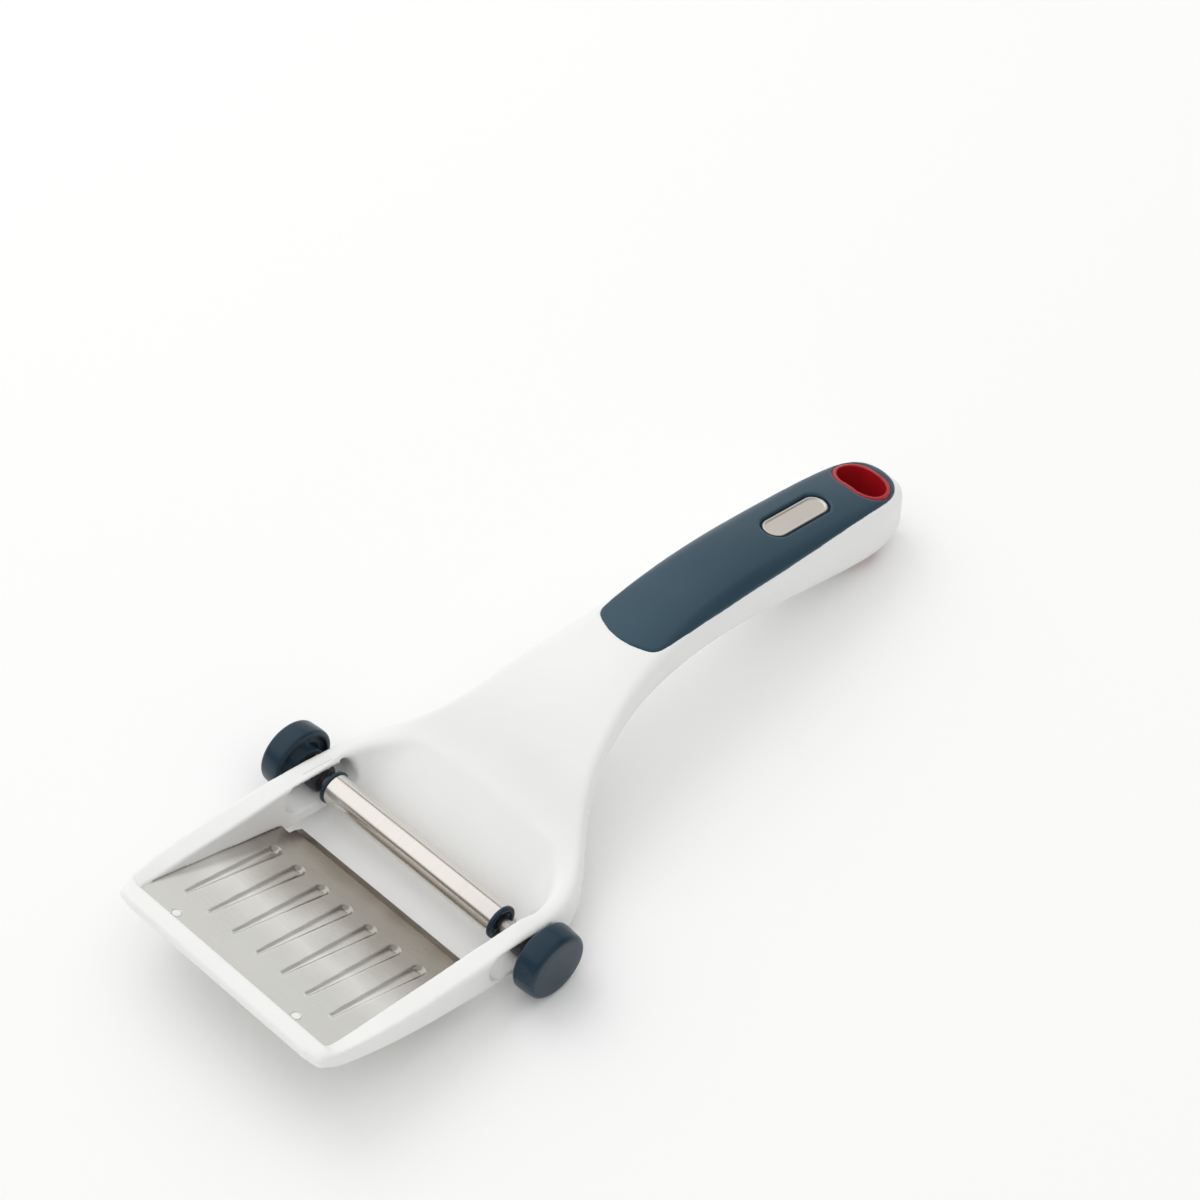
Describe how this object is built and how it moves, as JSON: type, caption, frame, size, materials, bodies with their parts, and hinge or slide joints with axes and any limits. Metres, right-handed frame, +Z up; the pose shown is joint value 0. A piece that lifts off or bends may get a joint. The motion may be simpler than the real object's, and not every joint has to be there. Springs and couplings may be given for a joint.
{
  "type": "adjustable cheese slicer",
  "caption": "Hand-held cheese slicer with a white frame, a fluted steel cutting plate, a steel roller on a sliding axle that sets the slice, side knobs and a soft arched grip.",
  "frame": {"origin": "on the table, under the middle of the tool's length and width, as it rests on its knobs and the end of its handle", "axes": "+X across the tool towards the right knob as the user holds it, +Y from the front bar towards the end of the handle, +Z up"},
  "size_m": [0.107, 0.2616, 0.038],
  "materials": {
    "white_abs": "satin",
    "brushed_steel_sheet": "brushed",
    "dark_abs": "matte",
    "slate_soft_grip": "soft matte",
    "red_plastic": "satin",
    "satin_badge_steel": "satin",
    "satin_rod_steel": "satin",
    "polished_steel": "polished",
    "slate_plastic": "satin",
    "brass_insert": "turned"
  },
  "bodies": {
    "frame": {"frame_body": "white_abs", "blade_plate": "brushed_steel_sheet", "grip_core": "dark_abs", "grip_pad": "slate_soft_grip", "hang_ring": "red_plastic", "badge": "satin_badge_steel"},
    "carriage": {"axle_rod": "satin_rod_steel", "slider_block_left": "dark_abs", "slider_block_right": "dark_abs"},
    "roller": {"roller_tube": "polished_steel", "roller_cap_left": "slate_plastic", "roller_cap_right": "slate_plastic"},
    "left_knob": {"knob_left": "slate_plastic", "knob_insert_left": "brass_insert"},
    "right_knob": {"knob_right": "slate_plastic", "knob_insert_right": "brass_insert"}
  },
  "joints": [
    {"name": "carriage_slide", "type": "slide", "parent": "frame", "child": "carriage", "axis": [0, 0.9763, -0.2164], "range_m": [-0.0082, 0.0022]},
    {"name": "roller_spin", "type": "hinge", "parent": "carriage", "child": "roller", "pos_m": [0, -0.05925, 0.0104], "axis": [1, 0, 0], "continuous": true},
    {"name": "knob_left_turn", "type": "hinge", "parent": "carriage", "child": "left_knob", "pos_m": [0, -0.05925, 0.0104], "axis": [1, 0, 0], "range_deg": [-180, 180]},
    {"name": "knob_right_turn", "type": "hinge", "parent": "carriage", "child": "right_knob", "pos_m": [0, -0.05925, 0.0104], "axis": [1, 0, 0], "range_deg": [-180, 180]}
  ]
}
